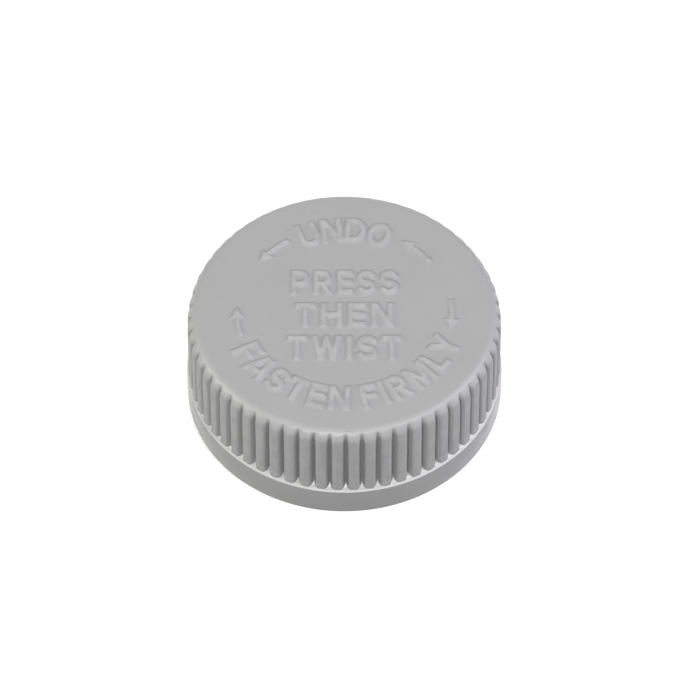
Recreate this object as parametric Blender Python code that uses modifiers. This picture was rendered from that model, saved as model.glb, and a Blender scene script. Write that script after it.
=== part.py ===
"""Child-resistant screw closure, push down and turn, 38 mm neck: a ribbed outer cap that turns freely on a
threaded inner cap until it is pressed down against its spring fingers and the drive lugs mesh.

Metres, +Z up. The origin is the centre of the outer cap's bottom rim, and +Z is the axis of both caps.
"""

import math

import bpy
import numpy as np

MM = 0.001
GAP = 0.3 * MM  # between pieces that touch

# Outer cap, outside
BAND_R = 22.5 * MM  # plain band round the foot
BAND_H = 4.7 * MM
CREST_R = 22.25 * MM  # over the ribs
GROOVE_R = 21.35 * MM  # at the bottom of the grooves
RIBS = 60
GROOVE_MOUTH = 0.9 * MM
GROOVE_FLOOR = 0.25 * MM
GROOVE_FADE = 1.9 * MM  # height below the top face from which a groove runs out over the rounded edge
GROOVE_LEAN = 0.2  # how far its floor leans out there, for each unit of height
TOP_Z = 17.2 * MM  # flat top face
TOP_ROUND = 1.6 * MM
TOP_WALL = 1.1 * MM

# Raised arrows on the top face: tip and tail in degrees
ARROWS = [(143, 123), (58, 38), (177, 195), (-12, 7)]
ARROW_R = 15.2 * MM
ARROW_SHAFT = 0.7 * MM
ARROW_HEAD = 2.0 * MM
ARROW_HEAD_DEG = 7.0
RELIEF = 0.3 * MM

# Two caps
PRESS = 1.6 * MM  # travel of the outer cap
LUGS = 12
LUG_H = PRESS
LUG_FREE = 0.4 * MM  # height between the two rings of lugs at rest
LUG_R_IN = 14.6 * MM
LUG_R_OUT = 18.4 * MM
LUG_ROOT_HALF = math.radians(4.5)
LUG_TIP_HALF = math.radians(4.0)
SIDE_PLAY = GAP  # between the caps' walls
INNER_R = 20.0 * MM  # inner cap, outside
INNER_PLATE = 1.2 * MM
INNER_FOOT_Z = 2.2 * MM

# 38 mm neck finish, one turn of thread at six turns to the inch
THREAD_ROOT_R = 18.95 * MM
THREAD_CREST_R = 17.85 * MM
THREAD_PITCH = 25.4 * MM / 6
THREAD_TURNS = 1.1
THREAD_START_Z = 3.7 * MM
THREAD_BASE_HALF = 1.1 * MM  # half the ridge's height at the wall
THREAD_CREST_HALF = 0.4 * MM
THREAD_SINK = math.radians(25)  # turn over which an end of the ridge sinks into the wall

LINER_R = 17.6 * MM
LINER_H = 1.0 * MM

# Spring fingers and their ratchet track
FINGERS = 8
FINGER_R_IN = 9.5 * MM
FINGER_R_OUT = 12.5 * MM
FINGER_THICK = 0.8 * MM
FINGER_ARC = math.radians(36)
FINGER_FLATS = (0.12, 0.92)  # shares of the arc between which a finger slopes
FINGER_TIP_SHARE = 0.75  # thickness of the tip against that of the root
TEETH = 24
TOOTH_H = 0.45 * MM
TOOTH_RAMP = math.radians(11)

# Heights that follow
OUTER_CEILING_Z = TOP_Z - TOP_WALL
INNER_TOP_Z = OUTER_CEILING_Z - 2 * LUG_H - LUG_FREE
INNER_CEILING_Z = INNER_TOP_Z - INNER_PLATE
OUTER_BORE_R = INNER_R + SIDE_PLAY

FACETS = 2 * RIBS  # one flat for each rib and one for each groove
FACET = 2 * math.pi / FACETS
INNER_FACETS = 72


def clear_scene():
    for obj in list(bpy.data.objects):
        bpy.data.objects.remove(obj, do_unlink=True)


def collection(name):
    made = bpy.data.collections.new(name)
    bpy.context.scene.collection.children.link(made)
    return made


def plastic(name, colour, roughness):
    made = bpy.data.materials.new(name)
    made.use_nodes = True
    shader = made.node_tree.nodes["Principled BSDF"]
    shader.inputs["Base Color"].default_value = (*colour, 1.0)
    shader.inputs["Roughness"].default_value = roughness
    shader.inputs["Metallic"].default_value = 0.0
    return made


def arc(centre_r, centre_z, radius, start_deg, end_deg, count):
    """Points (r, z) along a round corner of a turned profile."""
    angles = np.radians(np.linspace(start_deg, end_deg, count))
    return [(centre_r + radius * math.cos(a), centre_z + radius * math.sin(a)) for a in angles]


def turned(name, profile, steps, start_angle, material, into):
    """A profile of (r, z) points swept round Z: out from the axis, down the outside and back inside."""
    mesh = bpy.data.meshes.new(name)
    points = [(r, 0.0, z) for r, z in profile]
    mesh.from_pydata(points, [(i, i + 1) for i in range(len(points) - 1)], [])
    mesh.materials.append(material)
    obj = bpy.data.objects.new(name, mesh)
    obj.rotation_euler.z = start_angle
    into.objects.link(obj)
    screw = obj.modifiers.new("turn", "SCREW")
    screw.axis = "Z"
    screw.steps = screw.render_steps = steps
    screw.use_merge_vertices = True
    screw.merge_threshold = 0.01 * MM
    screw.use_smooth_shade = False
    return obj


def lofted(name, bodies, material, into):
    """One object of closed bodies, each skinned over its rings of points. A ring runs anticlockwise round the
    way from the first ring to the last. bodies is an array (body, ring, point, xyz)."""
    bodies = np.asarray(bodies, float)
    if bodies.ndim == 3:
        bodies = bodies[None]
    count, rings, points, _ = bodies.shape
    ring, point = np.meshgrid(np.arange(rings - 1), np.arange(points), indexing="ij")
    after = (point + 1) % points
    low, high = ring * points, (ring + 1) * points
    sides = np.stack([low + point, low + after, high + after, high + point], axis=-1).reshape(-1, 4)
    first = np.arange(points)[::-1]
    last = (rings - 1) * points + np.arange(points)
    faces = []
    for body in range(count):
        shift = body * rings * points
        faces += (sides + shift).tolist() + [(first + shift).tolist(), (last + shift).tolist()]
    mesh = bpy.data.meshes.new(name)
    mesh.from_pydata(bodies.reshape(-1, 3).tolist(), [], faces)
    mesh.materials.append(material)
    obj = bpy.data.objects.new(name, mesh)
    into.objects.link(obj)
    return obj


def as_tool(obj):
    """A helper that only cuts or joins: drawn as wire and left out of the model."""
    obj.hide_render = True
    obj.display_type = "WIRE"
    return obj


def combine(obj, tool, operation):
    boolean = obj.modifiers.new(tool.name, "BOOLEAN")
    boolean.operation = operation
    boolean.solver = "EXACT"
    boolean.object = tool


def polar(radius, angle, height):
    """Points from arrays of radius, angle and height, which may be of unlike shapes."""
    radius, angle, height = np.broadcast_arrays(radius, angle, height)
    return np.stack([radius * np.cos(angle), radius * np.sin(angle), height], axis=-1)


def drive_lugs(first_angle, z_root, z_tip):
    """A ring of blocks that narrow from z_root to z_tip, the first at first_angle: a body for each block."""
    radius = np.array([LUG_R_IN, LUG_R_OUT, LUG_R_OUT, LUG_R_IN])
    side = np.array([-1, -1, 1, 1])
    lugs = []
    for k in range(LUGS):
        centre = first_angle + k * 2 * math.pi / LUGS
        rings = [
            polar(radius, centre + LUG_ROOT_HALF * side, z_root),
            polar(radius, centre + LUG_TIP_HALF * side, z_tip),
        ]
        lugs.append(rings if z_tip > z_root else rings[::-1])
    return np.array(lugs)


def groove_cutters():
    """Grooves with sloping sides, whose floor leans out over the rounded top edge until it leaves it."""
    fade_z = TOP_Z - GROOVE_FADE
    over_z = TOP_Z + 0.8 * MM
    outside_r = CREST_R + 0.6 * MM
    spread = (GROOVE_MOUTH - GROOVE_FLOOR) / 2 / (CREST_R - GROOVE_R)
    grooves = []
    for k in range(RIBS):
        centre = k * 2 * math.pi / RIBS
        rings = []
        for z in (BAND_H, fade_z, over_z):
            floor_r = GROOVE_R + GROOVE_LEAN * max(0.0, z - fade_z)
            half_out = GROOVE_FLOOR / 2 + spread * (outside_r - floor_r)
            radius = np.array([floor_r, outside_r, outside_r, floor_r])
            across = np.array([-GROOVE_FLOOR / 2, -half_out, half_out, GROOVE_FLOOR / 2])
            rings.append(polar(radius, centre + across / radius, z))
        grooves.append(rings)
    return np.array(grooves)


def raised_arrow(tip_deg, tail_deg):
    """A flat arrow bent round the axis: a shaft along an arc with a three-cornered head at tip_deg."""
    turn = math.copysign(1.0, tip_deg - tail_deg)
    neck_deg = tip_deg - turn * ARROW_HEAD_DEG
    shaft = np.linspace(tail_deg, neck_deg, 4)
    outer = [(ARROW_R + ARROW_SHAFT / 2, a) for a in shaft] + [(ARROW_R + ARROW_HEAD / 2, neck_deg)]
    inner = [(ARROW_R - ARROW_SHAFT / 2, a) for a in shaft] + [(ARROW_R - ARROW_HEAD / 2, neck_deg)]
    outline = outer + [(ARROW_R, tip_deg)] + inner[::-1]
    if turn < 0:
        outline = outline[::-1]
    r, a = np.array(outline).T
    return [polar(r, np.radians(a), z) for z in (TOP_Z - RELIEF, TOP_Z + RELIEF)]


def outer_cap(material, parts, tools):
    """The ribbed shell: plain band, retaining bead inside the foot, and drive lugs under the top."""
    ledge_edge, rim_edge, corner = 0.25 * MM, 0.3 * MM, 0.8 * MM
    bead_r = INNER_R - 0.45 * MM
    profile = [(0.0, TOP_Z)]
    profile += arc(CREST_R - TOP_ROUND, TOP_Z - TOP_ROUND, TOP_ROUND, 90, 0, 5)
    profile += [(CREST_R, BAND_H), (BAND_R - ledge_edge / 2, BAND_H), (BAND_R, BAND_H - ledge_edge)]
    profile += [(BAND_R, rim_edge), (BAND_R - rim_edge, 0.0), (OUTER_BORE_R + 0.2 * MM, 0.0)]
    profile += [(OUTER_BORE_R, 0.4 * MM), (bead_r, 1.45 * MM), (bead_r, 1.75 * MM), (OUTER_BORE_R, 1.9 * MM)]
    profile += arc(OUTER_BORE_R - corner, OUTER_CEILING_Z - corner, corner, 0, 90, 3)
    profile += [(0.0, OUTER_CEILING_Z)]
    cap = turned("outer_cap", profile, FACETS, FACET / 2, material, parts)
    combine(cap, as_tool(lofted("rib_grooves", groove_cutters(), material, tools)), "DIFFERENCE")

    lugs = drive_lugs(0.0, OUTER_CEILING_Z + GAP, OUTER_CEILING_Z - LUG_H)
    combine(cap, as_tool(lofted("outer_lugs", lugs, material, tools)), "UNION")

    arrows = [raised_arrow(tip, tail) for tip, tail in ARROWS]
    combine(cap, as_tool(lofted("raised_arrows", arrows, material, tools)), "UNION")
    return cap


def thread_ridge():
    """An internal right-hand thread: a trapezoid carried up a helix, sinking into the wall over both ends."""
    steps = 54
    turn = np.linspace(0.0, THREAD_TURNS, steps)
    angle = 2 * math.pi * turn
    fade = np.clip(np.minimum(turn, THREAD_TURNS - turn) * 2 * math.pi / THREAD_SINK, 0.0, 1.0)
    end_depth, end_height = 0.15, 0.4  # what is left of the ridge's section where it ends
    crest_r = THREAD_ROOT_R - (THREAD_ROOT_R - THREAD_CREST_R) * (end_depth + (1 - end_depth) * fade)
    base_half = THREAD_BASE_HALF * (end_height + (1 - end_height) * fade)
    crest_half = THREAD_CREST_HALF * (end_height + (1 - end_height) * fade)
    z = THREAD_START_Z + THREAD_PITCH * turn
    base_r = np.full(steps, THREAD_ROOT_R + 0.25 * MM)  # buried in the wall
    radius = np.stack([base_r, crest_r, crest_r, base_r], axis=1)
    height = np.stack([z - base_half, z - crest_half, z + crest_half, z + base_half], axis=1)
    return polar(radius, angle[:, None], height)


def ratchet_teeth():
    """Low one-way ramps in the fingers' track: upright on the side a finger's tip stops against."""
    sunk = INNER_TOP_Z - GAP
    teeth = []
    for k in range(TEETH):
        stop = k * 2 * math.pi / TEETH
        rings = []
        for r in (FINGER_R_IN - GAP, FINGER_R_OUT + GAP):
            angle = np.array([stop, stop, stop - TOOTH_RAMP])
            rings.append(polar(r, angle, np.array([sunk, INNER_TOP_Z + TOOTH_H, sunk])))
        teeth.append(rings)
    return np.array(teeth)


def inner_cap(material, parts, tools):
    """The threaded cap that stays on the neck, with drive lugs and the ratchet track on top."""
    edge, foot, lead, fillet = 1.0 * MM, 0.15 * MM, 0.4 * MM, 1.2 * MM
    profile = [(0.0, INNER_TOP_Z)]
    profile += arc(INNER_R - edge, INNER_TOP_Z - edge, edge, 90, 0, 3)
    profile += [(INNER_R, INNER_FOOT_Z + foot), (INNER_R - foot, INNER_FOOT_Z)]
    profile += [(THREAD_ROOT_R + foot, INNER_FOOT_Z), (THREAD_ROOT_R, INNER_FOOT_Z + lead)]
    profile += arc(THREAD_ROOT_R - fillet, INNER_CEILING_Z - fillet, fillet, 0, 90, 3)
    profile += [(0.0, INNER_CEILING_Z)]
    cap = turned("inner_cap", profile, INNER_FACETS, 0.0, material, parts)
    combine(cap, as_tool(lofted("thread_ridge", thread_ridge(), material, tools)), "UNION")

    lugs = drive_lugs(math.pi / LUGS, INNER_TOP_Z - GAP, INNER_TOP_Z + LUG_H)
    combine(cap, as_tool(lofted("inner_lugs", lugs, material, tools)), "UNION")
    combine(cap, as_tool(lofted("ratchet_teeth", ratchet_teeth(), material, tools)), "UNION")
    return cap


def liner(material, parts):
    """The foam disc that seals on the neck's top."""
    top = INNER_CEILING_Z - GAP
    foot = top - LINER_H
    profile = [(0.0, top), (LINER_R, top), (LINER_R, foot), (0.0, foot)]
    return turned("liner", profile, INNER_FACETS, 0.0, material, parts)


def spring_fingers(material, parts, axis):
    """Leaf springs round the axis: each hangs from its root and slopes clockwise down to its tip."""
    root_top = OUTER_CEILING_Z - GAP
    tip_foot = INNER_TOP_Z + GAP
    tip_angle = GAP / FINGER_R_IN  # clear of the tooth that it stops against
    along = np.linspace(0.0, 1.0, 13)
    slope = np.clip((along - FINGER_FLATS[0]) / (FINGER_FLATS[1] - FINGER_FLATS[0]), 0.0, 1.0)
    foot = tip_foot + (root_top - FINGER_THICK - tip_foot) * slope
    thick = FINGER_THICK * (FINGER_TIP_SHARE + (1 - FINGER_TIP_SHARE) * slope)
    angle = tip_angle + FINGER_ARC * along
    radius = np.array([FINGER_R_IN, FINGER_R_IN, FINGER_R_OUT, FINGER_R_OUT])
    height = np.stack([foot, foot + thick, foot + thick, foot], axis=1)
    rings = polar(radius, angle[:, None], height)
    first = lofted("spring_finger_1", rings, material, parts)
    for k in range(FINGERS):
        finger = first if k == 0 else bpy.data.objects.new(f"spring_finger_{k + 1}", first.data)
        if k:
            parts.objects.link(finger)
        finger.parent = axis
        finger.rotation_euler.z = k * 2 * math.pi / FINGERS


def axis_empty(name, into):
    empty = bpy.data.objects.new(name, None)
    empty.empty_display_size = 10 * MM
    into.objects.link(empty)
    return empty


def main():
    clear_scene()
    parts = collection("child_resistant_closure")
    tools = collection("cutters")
    turning = axis_empty("ratchet_axis", parts)
    sliding = axis_empty("press_axis", parts)
    sliding.parent = turning

    shell = plastic("grey_polypropylene", (0.45, 0.45, 0.46), 0.45)
    core = plastic("white_polypropylene", (0.78, 0.78, 0.76), 0.40)
    foam = plastic("foamed_polyethylene", (0.86, 0.86, 0.84), 0.70)

    outer_cap(shell, parts, tools).parent = sliding
    inner_cap(core, parts, tools)
    liner(foam, parts)
    spring_fingers(shell, parts, turning)


main()
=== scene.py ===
"""Looks of a child-resistant screw closure: a ribbed grey outer cap with raised lettering, a white threaded
inner cap, a foam liner and the spring fingers between the caps.

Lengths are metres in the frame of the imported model. Each piece is a surface worked out with numpy as whole
arrays, and its docstring gives the formula in words.
"""

import math

import bpy
import numpy as np
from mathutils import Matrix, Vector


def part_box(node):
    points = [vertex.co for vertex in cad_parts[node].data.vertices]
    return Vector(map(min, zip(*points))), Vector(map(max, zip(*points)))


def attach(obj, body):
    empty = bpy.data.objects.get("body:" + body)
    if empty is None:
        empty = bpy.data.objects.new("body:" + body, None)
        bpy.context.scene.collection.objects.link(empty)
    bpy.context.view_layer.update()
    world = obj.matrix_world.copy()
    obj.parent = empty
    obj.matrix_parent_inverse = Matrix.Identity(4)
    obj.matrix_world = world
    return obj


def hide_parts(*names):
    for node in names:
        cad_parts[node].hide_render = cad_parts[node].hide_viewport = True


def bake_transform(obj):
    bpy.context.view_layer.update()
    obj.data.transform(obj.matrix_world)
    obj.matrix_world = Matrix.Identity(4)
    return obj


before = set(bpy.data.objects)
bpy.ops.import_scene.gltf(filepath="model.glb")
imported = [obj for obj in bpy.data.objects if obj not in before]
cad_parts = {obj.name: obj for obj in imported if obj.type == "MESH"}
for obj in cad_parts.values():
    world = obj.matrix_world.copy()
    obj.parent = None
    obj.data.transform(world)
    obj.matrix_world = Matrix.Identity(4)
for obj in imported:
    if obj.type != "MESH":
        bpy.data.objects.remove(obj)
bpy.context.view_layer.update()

MM = 0.001
TAU = 2 * math.pi

# Sizes that the frame gives
_, (BAND_R, _, SHELL_TOP_Z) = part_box("outer_cap")
(_, _, CORE_FOOT_Z), (CORE_R, _, LUG_TOP_Z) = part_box("inner_cap")
(_, _, LINER_FOOT_Z), (LINER_R, _, LINER_TOP_Z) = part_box("liner")
(_, _, FINGER_TIP_Z), (_, _, FINGER_TOP_Z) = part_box("spring_finger_1")

# Outer cap
RELIEF = 0.3 * MM  # height of the raised marks
FACE_Z = SHELL_TOP_Z - RELIEF
RIBS = 60
COLUMNS_PER_RIB = 16
COLUMNS = RIBS * COLUMNS_PER_RIB
COARSE = COLUMNS // 4
BAND_H = 4.7 * MM
CREST_R = 22.25 * MM
GROOVE_R = 21.35 * MM
GROOVE_MOUTH = 0.185  # half a groove's width over the ribs, in rib pitches
GROOVE_LEAN = 0.12 * MM  # how far a groove's floor leans out towards its top
SHOULDER = 1.22  # where a groove's rounded shoulder ends, in half widths of its mouth
FOOT_MOUTH = 0.225  # half a groove's width at the ribs' rounded feet
RIB_FOOT_Z = 4.76 * MM
RIB_CROWN = 0.09 * MM
RIB_PHASE = 0.086  # turn of the ribs round the axis, in rib pitches
TOP_EDGE = (1.6 * MM, 2.5 * MM)  # width and height of the ellipse between face and ribs
BAND_LIP = 0.12 * MM  # rounding of the band's top edge
BAND_FOOT = 0.3 * MM  # rounding of its bottom edge
LEDGE_OUT = BAND_R - BAND_LIP
LEDGE_RISE = 0.75 * MM
DISC_R = 17.9 * MM  # the square-gridded middle of the top face
CEILING_Z = FACE_Z - 1.1 * MM
BORE_R = CORE_R + 0.3 * MM

# Inner cap
LUGS = 12
LUG_H = 1.6 * MM
LUG_RING = (14.6 * MM, 18.4 * MM)
CORE_TOP_Z = LUG_TOP_Z - LUG_H
CORE_CEILING_Z = CORE_TOP_Z - 1.2 * MM
THREAD_ROOT_R = 18.95 * MM
THREAD_CREST_R = 17.85 * MM
THREAD_PITCH = 25.4 * MM / 6
THREAD_START_Z = 3.7 * MM
THREAD_TURNS = 1.1
TRACK_RING = (9.2 * MM, 12.8 * MM)
TOOTH_H = 0.45 * MM

# Spring fingers
FINGERS = 8
FINGER_R = (9.5 * MM, 12.5 * MM)
FINGER_THICK = 0.8 * MM
FINGER_SWEEP = math.radians(36)
FINGER_BEND = (5, -5)  # the two steps along a finger at which finger() gives places under its middle line

# Studio
CAMERA_AIM = (0.8 * MM, 0.0, 8.5 * MM)
CAMERA_RAISED = math.radians(51.9)
CAMERA_REACH = 40 * CREST_R
CAMERA_FILM, CAMERA_LENS = 36.0, 320.9  # millimetres
FLOOR_REACH = 3.0
FLOOR_GLOW = 0.27
SURROUND = 0.02  # strength of the even light from everywhere
LIGHT_REACH = 0.9
WHITE, WARM, COOL = (1.0, 1.0, 1.0), (1.0, 1.0, 0.95), (1.0, 0.96, 1.03)
LIGHTS = [  # azimuth and elevation in degrees, width in metres, watts, tint
    ("front", -8, 35, 0.35, 5.4, WHITE),
    ("front_right", 45, 50, 0.35, 2.4, WHITE),
    ("left", -85, 22, 0.5, 4.9, WARM),
    ("right", 85, 20, 0.5, 2.3, COOL),
    ("high_right", 95, 45, 0.4, 2.3, COOL),
    ("back", 180, 65, 0.4, 2.1, WHITE),
    ("behind", 180, 10, 0.5, 1.6, WHITE),
]


# ---------------------------------------------------------------- meshes


def soft_step(low, high, x):
    """A smooth S from 0 at low to 1 at high, and level beyond them. Low may be above high."""
    t = np.clip((x - low) / (high - low), 0.0, 1.0)
    return t * t * (3 - 2 * t)


def polar(radius, angle, height):
    """Points from radius, angle and height, which may have unlike shapes."""
    radius, angle, height = np.broadcast_arrays(radius, angle, height)
    return np.stack([radius * np.cos(angle), radius * np.sin(angle), height], axis=-1)


def strip(ring_a, ring_b):
    """Quads between two closed rings of point numbers of one length. Ring a is outside or below ring b."""
    return np.stack([ring_a, np.roll(ring_a, -1), np.roll(ring_b, -1), ring_b], axis=-1).reshape(-1, 4)


def fan(ring, pole):
    """Triangles from a closed ring of point numbers to one point."""
    return np.stack([ring, np.roll(ring, -1), np.full(len(ring), pole)], axis=-1)


def make_piece(name, points, face_sets, material, sharp=None):
    """A smooth-shaded mesh of points and of face arrays. Each array holds faces with one number of corners.
    Edges sharper than the given degrees stay sharp."""
    mesh = bpy.data.meshes.new(name)
    corners = np.concatenate([faces.ravel() for faces in face_sets]).astype(np.int32)
    sizes = np.concatenate([np.full(len(faces), faces.shape[1]) for faces in face_sets]).astype(np.int32)
    starts = np.concatenate([[0], np.cumsum(sizes)[:-1]]).astype(np.int32)
    mesh.vertices.add(len(points))
    mesh.vertices.foreach_set("co", np.asarray(points, np.float32).ravel())
    mesh.loops.add(len(corners))
    mesh.loops.foreach_set("vertex_index", corners)
    mesh.polygons.add(len(sizes))
    mesh.polygons.foreach_set("loop_start", starts)
    mesh.polygons.foreach_set("loop_total", sizes)
    mesh.update(calc_edges=True)
    mesh.validate()
    mesh.shade_smooth()
    if sharp is not None:
        mesh.set_sharp_from_angle(angle=math.radians(sharp))
    mesh.materials.append(material)
    piece = bpy.data.objects.new(name, mesh)
    bpy.context.scene.collection.objects.link(piece)
    return piece


def ringed_piece(name, rings, poles, material, sharp):
    """A closed piece from rows of points. Each row is a ring, anticlockwise as seen from beyond the first
    pole, and the rings lead from that pole to the second. Quads join neighbouring rings, and a fan joins each
    end ring to its pole."""
    rows, columns = rings.shape[:2]
    number = [row * columns + np.arange(columns) for row in range(rows)]
    first, second = rows * columns, rows * columns + 1
    quads = np.concatenate([strip(after, before) for before, after in zip(number, number[1:])])
    ends = np.concatenate([fan(number[0], first), fan(number[-1], second)[:, ::-1]])
    points = np.concatenate([rings.reshape(-1, 3), poles])
    return make_piece(name, points, [quads, ends], material, sharp)


def rounding(radius, height, size, degrees, side=1):
    """Radius and height along a rounded edge at each angle, from 0 where it is upright to 90 where it is
    level. Side is 1 where the level end is on top and -1 where it is below."""
    return [(radius - size * (1 - math.cos(a)), height - side * size * (1 - math.sin(a)))
            for a in np.radians(degrees)]


def turned(outline, angle):
    """A row of points round the axis for each radius and height of an outline."""
    return [polar(r, angle, z)[None] for r, z in outline]


# ---------------------------------------------------------------- lettering

STROKE = 0.105  # half a stroke's width, for letters one unit high


def bend(cx, cy, rx, ry, start_deg, end_deg, count=9):
    """Points along part of an ellipse, as the centre line of a curved stroke."""
    angle = np.radians(np.linspace(start_deg, end_deg, count))
    return [(cx + rx * math.cos(a), cy + ry * math.sin(a)) for a in angle]


def letter_strokes():
    """Each letter's width and the centre lines of its strokes, in a box one unit high. A line that ends on or
    past the box's edge is cut square by it, and any other end is round."""
    s, t = STROKE, 1 - STROKE
    stem = [(s, -0.2), (s, 1.2)]
    bowl_top, bowl_foot = 0.66, 0.43
    bowl_rx, bowl_ry = bowl_top - s - 0.33, (t - bowl_foot) / 2
    bowl = [(s, t), (0.33, t)] + bend(0.33, (t + bowl_foot) / 2, bowl_rx, bowl_ry, 90, -90) + [(s, bowl_foot)]
    upper, lower = (t + 0.5) / 2, (s + 0.5) / 2
    curl = bend(0.33, upper, 0.24, t - upper, 25, 270, 12) + bend(0.33, lower, 0.24, lower - s, 90, -155, 12)
    return {
        "A": (0.80, [[(-0.02, -0.2), (0.36, 1.0), (0.44, 1.0), (0.82, -0.2)], [(0.2, 0.30), (0.6, 0.30)]]),
        "D": (0.72, [stem, [(s, t), (0.33, t)] + bend(0.33, 0.5, 0.39 - s, t - 0.5, 90, -90, 13) + [(s, s)]]),
        "E": (0.60, [stem, [(s, s), (0.8, s)], [(s, 0.51), (0.50, 0.51)], [(s, t), (0.8, t)]]),
        "F": (0.58, [stem, [(s, 0.49), (0.48, 0.49)], [(s, t), (0.8, t)]]),
        "H": (0.72, [stem, [(0.72 - s, -0.2), (0.72 - s, 1.2)], [(s, 0.5), (0.72 - s, 0.5)]]),
        "I": (2 * s, [stem]),
        "L": (0.57, [stem, [(s, s), (0.8, s)]]),
        "M": (0.86, [stem, [(0.86 - s, -0.2), (0.86 - s, 1.2)], [(s, 1.0), (0.43, 0.14), (0.86 - s, 1.0)]]),
        "N": (0.74, [stem, [(0.74 - s, -0.2), (0.74 - s, 1.2)], [(s, 1.0), (0.74 - s, 0.0)]]),
        "O": (0.80, [bend(0.40, 0.5, 0.40 - s, t - 0.5, 0, 360, 25)]),
        "P": (bowl_top, [stem, bowl]),
        "R": (0.70, [stem, bowl, [(0.36, bowl_foot), (0.66, -0.15)]]),
        "S": (0.66, [curl]),
        "T": (0.66, [[(-0.2, t), (0.9, t)], [(0.33, -0.2), (0.33, t)]]),
        "U": (0.72, [[(s, 1.2)] + bend(0.36, 0.36, 0.36 - s, 0.36 - s, 180, 360) + [(0.72 - s, 1.2)]]),
        "W": (0.98, [[(0.055, 1.2), (0.28, 0.02), (0.49, 0.95), (0.70, 0.02), (0.925, 1.2)]]),
        "Y": (0.74, [[(0.02, 1.1), (0.37, 0.44), (0.72, 1.1)], [(0.37, 0.44), (0.37, -0.2)]]),
    }


LETTERS = letter_strokes()
LETTER_GAP = 0.15  # in letter heights, as is the gap between words
WORD_GAP = 0.42
CAP_H = 4.3 * MM
ARROWS = [(143, 123), (58, 38), (177, 195), (-12, 7)]  # angles of tip and tail, in degrees
ARROW_R = 15.2 * MM
WALL = 0.25 * MM  # half the width of a mark's sloping side


def from_lines(points, lines):
    """Distance of each point to the nearest of several lines of straight stretches."""
    starts = np.concatenate([np.array(line[:-1], float) for line in lines])
    ends = np.concatenate([np.array(line[1:], float) for line in lines])
    along = ends - starts
    offset = points[:, None, :] - starts
    share = np.clip((offset * along).sum(-1) / np.maximum((along**2).sum(-1), 1e-12), 0.0, 1.0)
    return np.linalg.norm(offset - share[..., None] * along, axis=-1).min(axis=1)


def letter_outline(points, letter):
    """Signed distance from a letter's outline, below 0 in its strokes: the strokes' bands cut by its box."""
    width, lines = LETTERS[letter]
    strokes = from_lines(points, lines) - STROKE
    x, y = points.T
    box = np.maximum(np.abs(x - width / 2) - width / 2, np.abs(y - 0.5) - 0.5)
    return np.maximum(strokes, box)


def arrow_outline(points, length):
    """Signed distance from an arrow that lies along +x from 0 to length and ends in a three-cornered head."""
    half_shaft, half_head, head = 0.36 * MM, 1.0 * MM, 1.9 * MM
    x, y = points.T
    neck = length - head
    shaft = np.maximum(np.abs(y) - half_shaft, np.abs(x - neck / 2) - neck / 2 - half_shaft)
    slope = np.array([half_head, head]) / math.hypot(half_head, head)
    sides = (x - length) * slope[0] + np.abs(y) * slope[1]
    return np.minimum(shaft, np.maximum(sides, neck - x))


def spaced(text):
    """Each letter of a line with the place of its left edge, and the line's width, in letter heights."""
    x, placed = 0.0, []
    for letter in text:
        if letter == " ":
            x += WORD_GAP - LETTER_GAP
            continue
        placed.append((letter, x))
        x += LETTERS[letter][0] + LETTER_GAP
    return placed, x - LETTER_GAP


def straight_line(text, middle_y, height, width):
    """Places of a straight line's letters: (letter, origin, direction of writing, height, stretch)."""
    placed, natural = spaced(text)
    stretch = width / (natural * height)
    places = [((x - natural / 2) * height * stretch, middle_y - height / 2) for _, x in placed]
    return [(letter, np.array(place), 0.0, height, stretch) for (letter, _), place in zip(placed, places)]


def curved_line(text, radius, height, first_deg, last_deg):
    """Places of the letters of a line bent round the axis at a middle radius. It reads clockwise over the top
    when the angles fall, and anticlockwise under the middle when they rise, with its feet towards the rim."""
    placed, natural = spaced(text)
    over = last_deg < first_deg
    found = []
    for letter, x in placed:
        width = LETTERS[letter][0]
        angle = math.radians(first_deg + (last_deg - first_deg) * (x + width / 2) / natural)
        turn = angle - math.pi / 2 if over else angle + math.pi / 2
        middle = radius * np.array([math.cos(angle), math.sin(angle)])
        way = np.array([math.cos(turn), math.sin(turn)])
        up = np.array([-way[1], way[0]])
        found.append((letter, middle - way * width * height / 2 - up * height / 2, turn, height, 1.0))
    return found


def marks():
    """Every raised letter of the top face."""
    found = curved_line("UNDO", 14.9 * MM, CAP_H, 115.5, 64.5)
    found += straight_line("PRESS", 5.35 * MM, CAP_H, 15.2 * MM)
    found += straight_line("THEN", -0.55 * MM, CAP_H, 14.0 * MM)
    found += straight_line("TWIST", -6.45 * MM, CAP_H, 16.2 * MM)
    found += curved_line("FASTEN FIRMLY", 15.4 * MM, 4.2 * MM, 203.5, 342.5)
    return found


def marks_distance(points):
    """Signed distance of points on the top face from the outline of the nearest raised mark."""
    nearest = np.full(len(points), 4 * MM)
    for letter, origin, turn, height, stretch in marks():
        near = np.linalg.norm(points - origin, axis=1) < 2.2 * height
        local = points[near] - origin
        cos, sin = math.cos(turn), math.sin(turn)
        across = (local @ np.array([cos, sin])) / (height * stretch)
        up = (local @ np.array([-sin, cos])) / height
        outline = letter_outline(np.stack([across, up], axis=1), letter) * height
        nearest[near] = np.minimum(nearest[near], outline)
    for tip_deg, tail_deg in ARROWS:
        middle, half = math.radians(tip_deg + tail_deg) / 2, math.radians(tip_deg - tail_deg) / 2
        angle = (np.arctan2(points[:, 1], points[:, 0]) - middle + math.pi) % TAU - math.pi
        radius = np.linalg.norm(points, axis=1)
        along = (angle + half) * ARROW_R * math.copysign(1, half)
        local = np.stack([along, radius - ARROW_R], axis=1)
        nearest = np.minimum(nearest, arrow_outline(local, 2 * abs(half) * ARROW_R))
    return nearest


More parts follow.
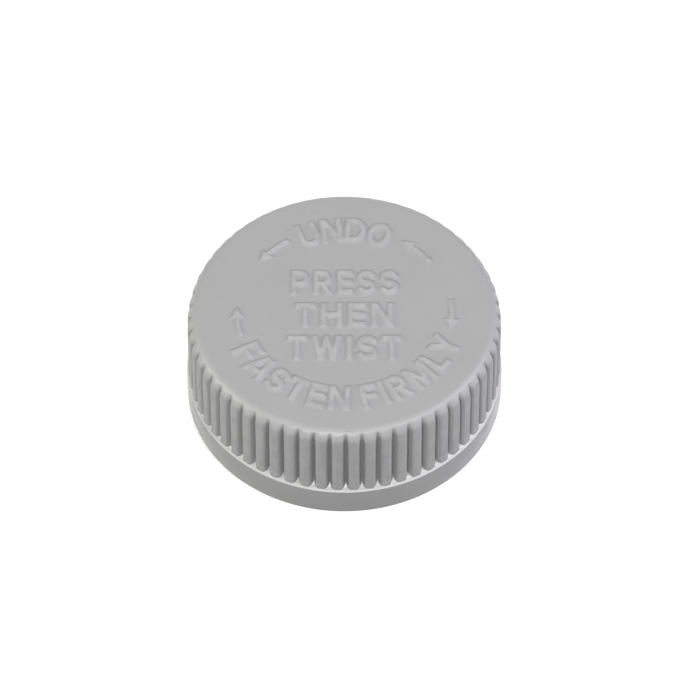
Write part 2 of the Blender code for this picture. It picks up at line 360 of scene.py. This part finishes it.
def draw_to_outline(points, cell):
    """Grid points near a mark's side slide square to it, onto its foot, middle or brow, so that the side runs
    true across the grid."""
    step = 0.01 * MM
    here = marks_distance(points)
    beside = marks_distance(points + [step, 0.0]) - here
    above = marks_distance(points + [0.0, step]) - here
    slope = np.stack([beside, above], axis=1) / step
    slope /= np.maximum(np.linalg.norm(slope, axis=1, keepdims=True), 0.2)
    target = np.clip(np.round(here / WALL), -1, 1) * WALL
    shift = np.clip(target - here, -cell / 2, cell / 2)
    shift = np.where(np.abs(here) < WALL + cell / 2, shift, 0.0)
    return points + slope * (0.85 * shift)[:, None]


# ---------------------------------------------------------------- outer cap


def square_disc(side):
    """Points of a disc of radius 1 from a square grid, by the equal-area map in which each square ring of the
    grid becomes a circle. Gives the points, the numbers of the rim's points, anticlockwise from angle 0, and
    the faces."""
    line = np.linspace(-1.0, 1.0, side + 1)
    a, b = np.meshgrid(line, line, indexing="ij")
    wide = np.abs(a) > np.abs(b)
    big = np.where(wide, a, b)
    safe = np.where(big == 0, 1.0, big)
    angle = np.where(wide, math.pi / 4 * b / safe, math.pi / 2 - math.pi / 4 * a / safe)
    points = np.stack([big * np.cos(angle), big * np.sin(angle)], axis=-1).reshape(-1, 2)
    number = np.arange((side + 1) ** 2).reshape(side + 1, side + 1)
    rim = np.concatenate([number[-1, :-1], number[:0:-1, -1], number[0, :0:-1], number[:-1, 0]])
    rim = np.roll(rim, -side // 2)
    quads = np.stack([number[:-1, :-1], number[1:, :-1], number[1:, 1:], number[:-1, 1:]], axis=-1)
    return points, rim, quads.reshape(-1, 4)


def rib_columns(mouth):
    """Each column's place within its rib pitch, from -0.5 to 0.5 with 0 at a groove's middle, crowded into
    grooves of the given half widths, which may be one for each row. With it come the even place that the
    column would have and the groove's depth there, from 0 to 1: a V with a rounded floor and shoulders."""
    mouth = np.asarray(mouth, float)[..., None]
    across = np.array([0.0, 0.16, 0.36, 0.58, 0.80, 1.0, SHOULDER])
    rib_middle = (SHOULDER * mouth + 0.5) / 2
    half = np.concatenate([mouth * across, rib_middle], axis=-1)
    place = np.concatenate([-half[..., :0:-1], half, np.full(rib_middle.shape, 0.5)], axis=-1)
    t = np.minimum(1.08 * (1 - np.append(across, SHOULDER) / SHOULDER), 1.0)
    deep = 0.45 * t + 0.55 * t**2
    deep = np.concatenate([deep[:0:-1], deep, [0.0]])
    even = (np.arange(COLUMNS_PER_RIB) - COLUMNS_PER_RIB // 2 + 1) / COLUMNS_PER_RIB
    return np.tile(place, RIBS), np.tile(even, RIBS), np.tile(deep, RIBS)


def ledge_height(radius):
    """Height of the ledge under the ribs: a hollow parabola that levels out at its outer radius."""
    share = (LEDGE_OUT - radius) * (1 / (LEDGE_OUT - GROOVE_R))
    return BAND_H + LEDGE_RISE * (share * share)


def shell_outside():
    """Rows of the outer cap's outside from the top disc's rim to the foot. The outline turned round the axis
    has a flat crown, an elliptical edge, upright ribs, a hollow ledge and the plain band. A groove's depth
    below that outline is its section times the depth at that height, which fades out over the rounded edge.
    The ribs' faces are crowned a little, and widening grooves round off their feet, which never go below the
    ledge. From the disc's rim outwards the columns turn by the ribs' phase."""
    start = np.repeat(np.arange(RIBS), COLUMNS_PER_RIB) * TAU / RIBS
    edge_w, edge_h = TOP_EDGE
    t = np.radians([90, 84, 78, 72, 66, 60, 54, 48, 41, 34, 26, 17, 8])
    edge_r = CREST_R - edge_w + edge_w * np.cos(t)
    edge_z = FACE_Z - edge_h + edge_h * np.sin(t)
    crown_r = np.linspace(DISC_R, CREST_R - edge_w, 6)[1:-1]
    side_z = np.append(np.array([14.4, 12.0, 8.5, 6.4, 5.9, 5.5, 5.2, 4.92]) * MM, RIB_FOOT_Z)
    outline_r = np.concatenate([crown_r, edge_r, np.full(len(side_z), CREST_R)])
    outline_z = np.concatenate([np.full(len(crown_r), FACE_Z), edge_z, side_z])

    foot = soft_step(5.3 * MM, RIB_FOOT_Z, outline_z)
    place, even, section = rib_columns(GROOVE_MOUTH + (FOOT_MOUTH - GROOVE_MOUTH) * foot**2)
    fade_top = FACE_Z - 0.1 * MM
    floor_r = GROOVE_R + GROOVE_LEAN * soft_step(FACE_Z - 2.6 * MM, fade_top, outline_z)
    depth = np.maximum(outline_r - floor_r, 0.0) * soft_step(fade_top, fade_top - 0.5 * MM, outline_z)
    upright = soft_step(fade_top, FACE_Z - 1.2 * MM, outline_z)[:, None]
    inset = RIB_CROWN * upright * np.cos(math.pi * place) ** 2
    radius = outline_r[:, None] - depth[:, None] * section - inset * (1 - section)
    drawn = soft_step(DISC_R, 20.5 * MM, outline_r)[:, None]
    angle = start + (even + (RIB_PHASE + place - even) * drawn) * TAU / RIBS
    above = 0.01 * MM * np.arange(len(outline_z), 0, -1)[:, None]
    over_ledge = np.maximum(outline_z[:, None], ledge_height(radius) + above)
    height = np.where(outline_z[:, None] < 7 * MM, over_ledge, outline_z[:, None])
    rows = [polar(radius, angle, height)]

    foot_r, foot_place = radius[-1], place[-1]
    for share in (0.1, 0.28, 0.5, 0.75, 1.0):
        r = foot_r + (LEDGE_OUT - foot_r) * share
        column = start + (RIB_PHASE + even + (foot_place - even) * (1 - share) ** 0.5) * TAU / RIBS
        rows.append(polar(r, column, ledge_height(r))[None])

    band = rounding(BAND_R, BAND_H, BAND_LIP, [60, 30, 0]) + [(BAND_R, 2.4 * MM)]
    band += rounding(BAND_R, 0.0, BAND_FOOT, [0, 30, 60, 90], -1)
    rows += turned(band, start + (RIB_PHASE + even) * TAU / RIBS)
    return np.roll(np.concatenate(rows), 1 - COLUMNS_PER_RIB // 2, axis=1)


def lug_field(radius, angle, first_deg):
    """Height from 0 to 1 of the drive lugs: blocks with sloping sides on a ring, one each 30 degrees."""
    pitch = TAU / LUGS
    away = np.abs((angle - math.radians(first_deg) + pitch / 2) % pitch - pitch / 2)
    across = np.clip((math.radians(4.5) - away) / math.radians(1.5), 0.0, 1.0)
    inner = np.clip((radius - LUG_RING[0]) / (0.3 * MM), 0.0, 1.0)
    outer = np.clip((LUG_RING[1] - radius) / (0.3 * MM), 0.0, 1.0)
    return across * np.minimum(inner, outer)


def shell_inside():
    """Rows of the outer cap's inside from the foot up the wall, over the retaining bead and across the
    ceiling, from which the drive lugs hang, towards the axis."""
    around = np.arange(COARSE) * TAU / COARSE
    bead_r = CORE_R - 0.45 * MM
    wall = [(BORE_R + 1.3 * MM, 0.0), (BORE_R + 0.35 * MM, 0.0), (BORE_R + 0.12 * MM, 0.08 * MM)]
    wall += [(BORE_R, 0.35 * MM), (BORE_R - 0.05 * MM, 0.5 * MM), (bead_r + 0.1 * MM, 1.28 * MM)]
    wall += [(bead_r, 1.45 * MM), (bead_r, 1.62 * MM), (bead_r + 0.12 * MM, 1.76 * MM)]
    wall += [(BORE_R - 0.1 * MM, 1.88 * MM), (BORE_R, 2.0 * MM), (BORE_R, 8 * MM)]
    wall += rounding(BORE_R, CEILING_Z, 0.8 * MM, [0, 22, 45, 68, 90])
    rows = turned(wall, around)
    for r in np.array([18.45, 18.4, 18.1, 16.5, 14.9, 14.6, 14.5, 12.0, 9.0, 6.0, 3.0]) * MM:
        rows.append(polar(r, around, CEILING_Z - LUG_H * lug_field(r, around, 0.0))[None])
    return np.concatenate(rows)


def outer_cap(material):
    """The outer cap as one closed surface: the top disc with its raised marks, the outside rows, the foot,
    where four columns become one, the inside rows and a centre point. A mark's height is RELIEF times a
    smooth step of the signed distance from its outline."""
    side = COLUMNS // 4
    flat, rim, disc_faces = square_disc(side)
    flat *= DISC_R
    cell = DISC_R * math.sqrt(math.pi) / side
    inside = np.ones(len(flat), bool)
    inside[rim] = False
    flat[inside] = draw_to_outline(flat[inside], cell)
    height = RELIEF * (1 - soft_step(-WALL, WALL, marks_distance(flat)))
    disc = np.column_stack([flat, FACE_Z + height])

    outside, within = shell_outside(), shell_inside()
    first_out = len(disc)
    first_in = first_out + outside.shape[0] * COLUMNS
    pole = first_in + within.shape[0] * COARSE
    rings = [rim] + [first_out + row * COLUMNS + np.arange(COLUMNS) for row in range(outside.shape[0])]
    faces = [strip(lower, upper) for upper, lower in zip(rings, rings[1:])]

    inner_rings = [first_in + row * COARSE + np.arange(COARSE) for row in range(within.shape[0])]
    fine, coarse = rings[-1].reshape(COARSE, 4), inner_rings[0]
    foot = np.column_stack([coarse, np.roll(coarse, -1), np.roll(fine[:, 0], -1), fine[:, ::-1]])
    faces += [strip(upper, lower) for lower, upper in zip(inner_rings, inner_rings[1:])]
    centre = np.array([[0.0, 0.0, CEILING_Z]])
    points = np.concatenate([disc, outside.reshape(-1, 3), within.reshape(-1, 3), centre])
    ceiling = fan(inner_rings[-1], pole)[:, ::-1]
    return make_piece("outer_cap_shell", points, [disc_faces, np.concatenate(faces), foot, ceiling], material)


# ---------------------------------------------------------------- inner cap, liner and fingers


def core_columns():
    """Angles of the inner cap's columns: even but for one in each 15 degrees, moved up close to the upright
    face of a ratchet tooth."""
    angle = np.arange(COARSE) * TAU / COARSE
    angle[9::10] += math.radians(1.1)
    return angle


def tooth_field(radius, angle):
    """Height from 0 to 1 of the one-way ratchet teeth, which rise for 10 degrees and drop in under one."""
    degrees = np.degrees(angle) % 15
    ramp = np.where(degrees < 14.7, np.clip((degrees - 4.0) / 10.6, 0.0, 1.0), 0.0)
    inner = np.clip((radius - TRACK_RING[0]) / (0.15 * MM), 0.0, 1.0)
    outer = np.clip((TRACK_RING[1] - radius) / (0.15 * MM), 0.0, 1.0)
    return ramp * np.minimum(inner, outer)


def thread_field(angle, height):
    """How far from 0 to 1 the thread's ridge stands in from the wall: at each turn, a flat crest about the
    helix with flanks that fall off in a smooth S, sinking away over both ends."""
    stands = np.zeros(np.broadcast(angle, height).shape)
    for turn in range(2):
        turns = angle / TAU + turn
        ends = soft_step(0.0, 25.0, np.minimum(turns, THREAD_TURNS - turns) * 360.0)
        off = np.abs(height - THREAD_START_Z - THREAD_PITCH * turns)
        ridge = 1 - soft_step(0.35 * MM, 1.1 * MM, off)
        stands = np.maximum(stands, ridge * ends)
    return stands


def inner_cap(material):
    """The inner cap as one closed surface of revolution whose top carries the drive lugs and ratchet teeth as
    a height field, and whose bore carries the thread as a depth field."""
    angle = core_columns()
    track_r = [9.15, 9.2, 9.35, 11.0, 12.65, 12.8, 12.85]
    lugs_r = [14.5, 14.6, 14.9, 16.5, 18.1, 18.4, 18.45]
    rows = []
    for r in np.array([3.0, 6.0] + track_r + lugs_r) * MM:
        raised = LUG_H * lug_field(r, angle, 15.0) + TOOTH_H * tooth_field(r, angle)
        rows.append(polar(r, angle, CORE_TOP_Z + raised)[None])

    outline = rounding(CORE_R, CORE_TOP_Z, 1.0 * MM, [90, 72, 54, 36, 18, 0])
    outline += [(CORE_R, 7 * MM), (CORE_R, CORE_FOOT_Z + 0.2 * MM)]
    outline += [(CORE_R - 0.06 * MM, CORE_FOOT_Z + 0.05 * MM), (CORE_R - 0.2 * MM, CORE_FOOT_Z)]
    outline += [(THREAD_ROOT_R + 0.25 * MM, CORE_FOOT_Z)]
    outline += [(THREAD_ROOT_R + 0.06 * MM, CORE_FOOT_Z + 0.1 * MM), (THREAD_ROOT_R, CORE_FOOT_Z + 0.35 * MM)]
    rows += turned(outline, angle)

    bore_z = np.linspace(CORE_FOOT_Z + 0.45 * MM, 9.6 * MM, 60)[:, None]
    depth = (THREAD_ROOT_R - THREAD_CREST_R) * thread_field(angle, bore_z)
    rows.append(polar(THREAD_ROOT_R - depth, angle, bore_z))
    ceiling = rounding(THREAD_ROOT_R, CORE_CEILING_Z, 1.2 * MM, [0, 22, 45, 68, 90])
    ceiling += [(14 * MM, CORE_CEILING_Z), (8 * MM, CORE_CEILING_Z)]
    rows += turned(ceiling, angle)
    poles = [[0.0, 0.0, CORE_TOP_Z], [0.0, 0.0, CORE_CEILING_Z]]
    return ringed_piece("inner_cap_core", np.concatenate(rows), poles, material, 40)


def liner(material):
    """The foam disc: a flat disc with softly rounded edges, dished by a hair where the neck's land has
    pressed a ring into it."""
    soft = 0.18 * MM
    outline = [(LINER_R * share, LINER_TOP_Z) for share in (0.3, 0.65, 0.9)]
    outline += rounding(LINER_R, LINER_TOP_Z, soft, [90, 60, 30, 0])
    outline += rounding(LINER_R, LINER_FOOT_Z, soft, [0, 30, 60, 90], -1)
    pressed = np.array([17.3, 17.1, 16.9, 16.5, 16.1, 15.9, 15.7, 14.0, 9.0, 4.0]) * MM
    dish = 0.06 * MM * soft_step(17.2 * MM, 16.9 * MM, pressed) * soft_step(15.7 * MM, 16.0 * MM, pressed)
    outline += list(zip(pressed, LINER_FOOT_Z + dish))
    rows = np.concatenate(turned(outline, np.arange(COARSE) * TAU / COARSE))
    poles = [[0.0, 0.0, LINER_TOP_Z], [0.0, 0.0, LINER_FOOT_Z]]
    return ringed_piece("liner_disc", rows, poles, material, 50)


def finger(number, material):
    """A leaf spring: a rounded rectangle carried along an arc round the axis, level at its root, sloping down
    to its tip and thinner there. Its root runs up into the outer cap's ceiling. Gives the piece and two
    places under its middle line, at the steps that FINGER_BEND names."""
    steps, around, squareness = 40, 28, 0.35
    r_in, r_out = FINGER_R
    root_z = CEILING_Z + 0.1 * MM
    share = np.linspace(0.0, 1.0, steps)
    slope = soft_step(0.05, 1.0, share) * 0.35 + 0.65 * np.clip((share - 0.10) / 0.80, 0.0, 1.0)
    foot = FINGER_TIP_Z + (FINGER_TOP_Z - FINGER_THICK - FINGER_TIP_Z) * slope
    root = soft_step(0.72, 0.96, share)
    top = (foot + FINGER_THICK * (0.75 + 0.25 * slope)) * (1 - root) + root_z * root
    ends = np.sqrt(1 - np.clip(1 - np.minimum(share, 1 - share) / 0.03, 0.0, 1.0) ** 2 * 0.75)
    turn = np.linspace(0.0, TAU, around, endpoint=False)
    across = np.sign(np.cos(turn)) * np.abs(np.cos(turn)) ** squareness
    up = np.sign(np.sin(turn)) * np.abs(np.sin(turn)) ** squareness
    radius = (r_in + r_out) / 2 + (r_out - r_in) / 2 * across * ends[:, None]
    height = ((foot + top) / 2)[:, None] + ((top - foot) / 2 * ends)[:, None] * up
    angle = (number - 1) * TAU / FINGERS + 0.3 * MM / r_in + share * FINGER_SWEEP
    rings = polar(radius, angle[:, None], height)
    poles = [rings[0].mean(axis=0), rings[-1].mean(axis=0)]
    piece = ringed_piece(f"spring_leaf_{number}", rings, poles, material, 50)
    return piece, polar((r_in + r_out) / 2, angle[list(FINGER_BEND)], 0.0)


# ---------------------------------------------------------------- materials


class Wire:
    """A number socket that Python's operators work on: each operator adds the Math node that it means."""

    def __init__(self, nodes, socket):
        self.nodes, self.socket = nodes, socket

    def maths(self, kind, first, second):
        """The result of a Math node of that kind for two numbers or wires."""
        return self.nodes.node("ShaderNodeMath", {"operation": kind}, {0: first, 1: second})

    def __add__(self, other):
        return self.maths("ADD", self, other)

    def __sub__(self, other):
        return self.maths("SUBTRACT", self, other)

    def __rsub__(self, other):
        return self.maths("SUBTRACT", other, self)

    def __mul__(self, other):
        return self.maths("MULTIPLY", self, other)

    __radd__, __rmul__ = __add__, __mul__


class Finish:
    """A material's node tree, with one method that adds any node and returns a wire from its output."""

    def __init__(self, name):
        self.material = bpy.data.materials.new(name)
        self.material.use_nodes = True
        self.tree = self.material.node_tree
        self.shader = self.tree.nodes["Principled BSDF"]
        self.place = self.node("ShaderNodeTexCoord", {}, {}, "Object")

    def node(self, kind, settings, inputs, output=0):
        """A new node with its settings and inputs. Each input is a wire or a constant."""
        made = self.tree.nodes.new(kind)
        for key, value in settings.items():
            setattr(made, key, value)
        for key, value in inputs.items():
            self.feed(made.inputs[key], value)
        return Wire(self, made.outputs[output])

    def feed(self, socket, value):
        """Link a wire to a socket, or set the socket to a constant."""
        if isinstance(value, Wire):
            self.tree.links.new(value.socket, socket)
        else:
            socket.default_value = value

    def noise(self, size, detail=2.0, roughness=0.5, place=None):
        """Cloudy noise from 0 to 1 with blobs about size across."""
        inputs = {"Vector": place or self.place, "Scale": 1 / size, "Detail": detail, "Roughness": roughness}
        return self.node("ShaderNodeTexNoise", {}, inputs, "Fac")

    def ramp(self, value, low, high):
        """A smooth S from 0 at low to 1 at high; it falls instead where low is above high."""
        ends = {"From Min": min(low, high), "From Max": max(low, high), "Value": value}
        ends.update({"To Min": 0.0 if low < high else 1.0, "To Max": 1.0 if low < high else 0.0})
        return self.node("ShaderNodeMapRange", {"interpolation_type": "SMOOTHSTEP"}, ends)

    def mix(self, share, first, second):
        """A colour that turns from first to second."""
        return self.node("ShaderNodeMix", {"data_type": "RGBA"}, {0: share, 6: first, 7: second}, 2)

    def from_axis(self):
        """Distance from the closure's axis."""
        level = {0: self.place, 1: (1.0, 1.0, 0.0)}
        flat = self.node("ShaderNodeVectorMath", {"operation": "MULTIPLY"}, level)
        return self.node("ShaderNodeVectorMath", {"operation": "LENGTH"}, {0: flat}, "Value")

    def height(self):
        """Height above the closure's foot."""
        return self.node("ShaderNodeSeparateXYZ", {}, {0: self.place}, "Z")

    def moved(self, **inputs):
        """The place turned, shifted or scaled, so that a pattern on it lies aslant or is drawn out."""
        return self.node("ShaderNodeMapping", {}, {"Vector": self.place} | inputs)

    def bump(self, height, depth, under=None):
        """A normal pushed by a height from 0 to 1 that stands for depth metres."""
        inputs = {"Height": height, "Distance": depth, "Strength": 1.0}
        if under:
            inputs["Normal"] = under
        return self.node("ShaderNodeBump", {}, inputs)

    def finish(self, colour, roughness, normal, **constants):
        """The material, once its shader has its colour, roughness, normal and constants."""
        self.feed(self.shader.inputs["Base Color"], colour)
        self.feed(self.shader.inputs["Roughness"], roughness)
        self.feed(self.shader.inputs["Normal"], normal)
        for key, value in constants.items():
            self.shader.inputs[key.replace("_", " ")].default_value = value
        return self.material


def grey(value, tint=(1.0, 1.0, 1.0)):
    """A grey of that linear lightness, times a tint."""
    return (value * tint[0], value * tint[1], value * tint[2], 1.0)


def shell_plastic():
    """Pale grey polypropylene from a lightly etched mould: clouded a little by flow, rubbed paler and
    glossier on the ribs' crests and the marks' brows, and drawn in fine streaks down the ribs. The top's
    rim is glossier and carries a painted highlight that makes it paler.
    The ledge is polished and carries a painted highlight that makes it pale. The band is darkened by
    painted shade, and the grooves' floors carry a little painted shade. The top has a few dark specks, hair
    scratches and one nick. Each of these is a mask from 0 to 1."""
    f = Finish("shell_plastic")
    r, z = f.from_axis(), f.height()
    cloud = f.noise(7 * MM, 3.0)
    patch = f.noise(2.2 * MM, 2.0)
    grain = f.noise(0.22 * MM, 2.0, 0.6)
    orange = f.noise(0.9 * MM, 2.0)

    above_band = f.ramp(z, BAND_H, BAND_H + 0.3 * MM)
    crest = f.ramp(r, CREST_R - 0.14 * MM, CREST_R - 0.02 * MM) * above_band
    brow = f.ramp(z, FACE_Z + 0.17 * MM, FACE_Z + 0.29 * MM)
    rubbed = (0.5 * crest + brow) * f.ramp(patch, 0.35, 0.65)
    # painted highlight: this mask makes the top's rim paler, standing in for the light on that edge; it also
    # lowers the roughness there for real gloss
    rim = f.ramp(z, FACE_Z - 1.9 * MM, FACE_Z - 0.9 * MM)
    rim = rim * f.ramp(r, CREST_R - 1.7 * MM, CREST_R - 0.8 * MM)

    dots = f.node("ShaderNodeTexVoronoi", {}, {"Vector": f.place, "Scale": 1 / (2.6 * MM)}, "Distance")
    speck = f.ramp(dots, 0.055, 0.03) * f.ramp(f.noise(4 * MM, 1.0), 0.56, 0.62)
    aslant = f.moved(Rotation=(0.0, 0.0, 0.5), Scale=(1.0, 14.0, 1.0))
    hair = f.ramp(f.noise(5 * MM, 3.0, 0.6, aslant), 0.700, 0.715) * f.ramp(z, FACE_Z - 0.1 * MM, FACE_Z)
    nick_place = {"Location": (0.9 * MM, -21.2 * MM, FACE_Z), "Rotation": (0.0, 0.0, -0.14),
                  "Scale": (1.1 * MM, 0.10 * MM, 1.0)}
    nick_from = f.node("ShaderNodeMapping", {"vector_type": "TEXTURE"}, {"Vector": f.place} | nick_place)
    nick_off = f.node("ShaderNodeVectorMath", {"operation": "LENGTH"}, {0: nick_from}, "Value")
    nick = f.ramp(nick_off, 1.0, 0.3) * f.ramp(patch, 0.2, 0.5)

    # painted highlight: this mask makes the ledge pale, standing in for the light it catches
    over_ledge = f.ramp(z - ledge_height(r), 0.16 * MM, 0.06 * MM)
    over_ledge = over_ledge * f.ramp(r, GROOVE_R - 0.3 * MM, GROOVE_R)
    ledge = over_ledge * f.ramp(z, BAND_H - 0.15 * MM, BAND_H)
    # painted shade: this mask darkens the band, standing in for the shade on it
    band = f.ramp(z, BAND_H - 0.05 * MM, BAND_H - 0.25 * MM)
    polished = f.ramp(z, BAND_H + 0.95 * MM, BAND_H + 0.65 * MM)
    # painted shade: these masks darken the grooves' floors, standing in for the shade in them
    near_floor = f.ramp(r, GROOVE_R - 0.25 * MM, GROOVE_R - 0.1 * MM)
    near_floor = near_floor * f.ramp(r, GROOVE_R + 0.3 * MM, GROOVE_R + 0.05 * MM)
    groove_shade = near_floor * f.ramp(z, BAND_H + 0.9 * MM, BAND_H + 1.4 * MM)
    groove_shade = groove_shade * f.ramp(z, FACE_Z - 0.9 * MM, FACE_Z - 2.2 * MM)
    on_ribs = f.ramp(r, CREST_R - 1.0 * MM, CREST_R - 0.5 * MM) * above_band
    streak = f.ramp(f.noise(0.3 * MM, 3.0, 0.6, f.moved(Scale=(1.0, 1.0, 0.04))), 0.35, 0.65) * on_ribs

    colour = f.mix(cloud, grey(0.300, (0.992, 0.995, 1.0)), grey(0.330, (0.998, 0.995, 1.01)))
    colour = f.mix(streak * 0.55, colour, grey(0.270))
    # painted shade in the grooves' floors
    colour = f.mix(groove_shade * 0.45, colour, grey(0.17, (1.0, 0.99, 0.97)))
    colour = f.mix(rubbed * 0.5, colour, grey(0.40))
    # painted highlight on the top's rim
    colour = f.mix(rim * (0.4 + 0.3 * patch), colour, grey(0.42))
    # painted shade on the band
    colour = f.mix(band * (0.6 + 0.2 * cloud), colour, grey(0.245))
    # painted highlight on the ledge
    colour = f.mix(ledge * 0.8, colour, grey(0.66))
    colour = f.mix(speck * 0.5, colour, grey(0.16, (1.0, 0.97, 0.94)))
    colour = f.mix(hair * 0.25, colour, grey(0.42))
    colour = f.mix(nick * 0.5, colour, grey(0.14))
    roughness = 0.44 + 0.10 * cloud + 0.06 * grain - 0.08 * rubbed - 0.12 * rim - 0.30 * polished
    fine = f.bump(grain * (1 - 0.8 * polished), 0.009 * MM)
    waves = f.bump(orange * (1 - 0.7 * polished), 0.012 * MM, fine)
    drawn = f.bump(streak, 0.006 * MM, waves)
    normal = f.bump(hair, 0.008 * MM, drawn)
    return f.finish(colour, roughness, normal, Subsurface_Weight=0.12, Subsurface_Scale=0.6 * MM,
                    Subsurface_Radius=(1.0, 0.9, 0.85))


def core_plastic():
    """Natural white polypropylene, smoother than the shell, faintly clouded and marked by concentric flow."""
    f = Finish("core_plastic")
    cloud = f.noise(5 * MM, 3.0)
    grain = f.noise(0.3 * MM, 2.0)
    rings = f.node("ShaderNodeMath", {"operation": "SINE"}, {0: f.from_axis() * (TAU / (0.9 * MM))})
    colour = f.mix(cloud, grey(0.72, (1.0, 0.995, 0.97)), grey(0.79, (1.0, 0.998, 0.985)))
    roughness = 0.34 + 0.10 * cloud + 0.03 * rings
    normal = f.bump(grain, 0.005 * MM, f.bump(rings, 0.002 * MM))
    return f.finish(colour, roughness, normal, Subsurface_Weight=0.2, Subsurface_Scale=1.0 * MM)


def liner_foam():
    """Foamed polyethylene sheet: white, matt, pitted by fine cells and faintly rippled by the rolling."""
    f = Finish("liner_foam")
    cells = f.node("ShaderNodeTexVoronoi", {}, {"Vector": f.place, "Scale": 1 / (0.35 * MM)}, "Distance")
    pits = f.ramp(cells, 0.15, 0.6)
    cloud = f.noise(3 * MM, 3.0)
    # painted shade: the foam's cell pits are coloured darker, standing in for the shade in them
    colour = f.mix(pits, grey(0.76, (1.0, 0.99, 0.97)), grey(0.86, (1.0, 1.0, 0.99)))
    colour = f.mix(0.25 * cloud, colour, grey(0.80))
    roughness = 0.55 + 0.2 * cloud
    normal = f.bump(pits, 0.02 * MM, f.bump(cloud, 0.03 * MM))
    return f.finish(colour, roughness, normal, Subsurface_Weight=0.3, Subsurface_Scale=1.5 * MM)


def paper_white():
    """The studio's white floor, which glows a little so that it stays white under the closure."""
    f = Finish("paper_white")
    tone = f.noise(60 * MM, 2.0)
    colour = f.mix(tone, grey(0.90), grey(0.92))
    f.shader.inputs["Emission Color"].default_value = (1.0, 1.0, 1.0, 1.0)
    f.shader.inputs["Emission Strength"].default_value = FLOOR_GLOW
    return f.finish(colour, 0.9, f.bump(tone, 0.01 * MM))


# ---------------------------------------------------------------- studio


def camera():
    """A long lens, 52 degrees above the horizontal, far enough off to be nearly without perspective."""
    aim = np.array(CAMERA_AIM)
    data = bpy.data.cameras.new("camera")
    data.sensor_width, data.lens = CAMERA_FILM, CAMERA_LENS
    data.clip_start, data.clip_end = 0.05, 20.0
    shot = bpy.data.objects.new("camera", data)
    shot.location = aim + CAMERA_REACH * np.array([0.0, -math.cos(CAMERA_RAISED), math.sin(CAMERA_RAISED)])
    shot.rotation_euler = (math.pi / 2 - CAMERA_RAISED, 0.0, 0.0)
    bpy.context.scene.collection.objects.link(shot)
    bpy.context.scene.camera = shot


def softbox(name, azimuth, raised, size, watts, colour):
    """A square area light on a sphere round the closure, aimed at it. Azimuth 0 is the camera's side."""
    data = bpy.data.lights.new(name, "AREA")
    data.shape, data.size, data.energy, data.color = "SQUARE", size, watts, colour
    lamp = bpy.data.objects.new(name, data)
    a, e = math.radians(azimuth), math.radians(raised)
    way = np.array([math.sin(a) * math.cos(e), -math.cos(a) * math.cos(e), math.sin(e)])
    lamp.location = LIGHT_REACH * way
    lamp.rotation_euler = (math.pi / 2 - e, 0.0, a)
    bpy.context.scene.collection.objects.link(lamp)


def studio():
    """A white floor, seven soft lights all round and a faint even surround."""
    line = np.linspace(-FLOOR_REACH, FLOOR_REACH, 3)
    x, y = np.meshgrid(line, line, indexing="ij")
    points = np.stack([x, y, np.zeros_like(x)], axis=-1).reshape(-1, 3)
    number = np.arange(9).reshape(3, 3)
    quads = np.stack([number[:-1, :-1], number[1:, :-1], number[1:, 1:], number[:-1, 1:]], axis=-1)
    floor = make_piece("floor", points, [quads.reshape(-1, 4)], paper_white())
    floor.visible_diffuse = False  # the lights alone set how much light comes up from below
    for light in LIGHTS:
        softbox(*light)
    world = bpy.data.worlds.new("surround")
    world.use_nodes = True
    background = world.node_tree.nodes["Background"]
    background.inputs["Color"].default_value = (1.0, 1.0, 1.0, 1.0)
    background.inputs["Strength"].default_value = SURROUND
    bpy.context.scene.world = world
    bpy.context.scene.view_settings.view_transform = "Standard"


# ---------------------------------------------------------------- the closure

grey_shell, white_core, white_foam = shell_plastic(), core_plastic(), liner_foam()

shell = outer_cap(grey_shell)
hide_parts("outer_cap")
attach(shell, "outer_cap")

core = inner_cap(white_core)
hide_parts("inner_cap")
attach(core, "inner_cap")

disc = liner(white_foam)
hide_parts("liner")
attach(disc, "inner_cap")

for number in range(1, FINGERS + 1):
    leaf, ends = finger(number, grey_shell)
    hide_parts(f"spring_finger_{number}")
    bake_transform(leaf)

camera()
studio()
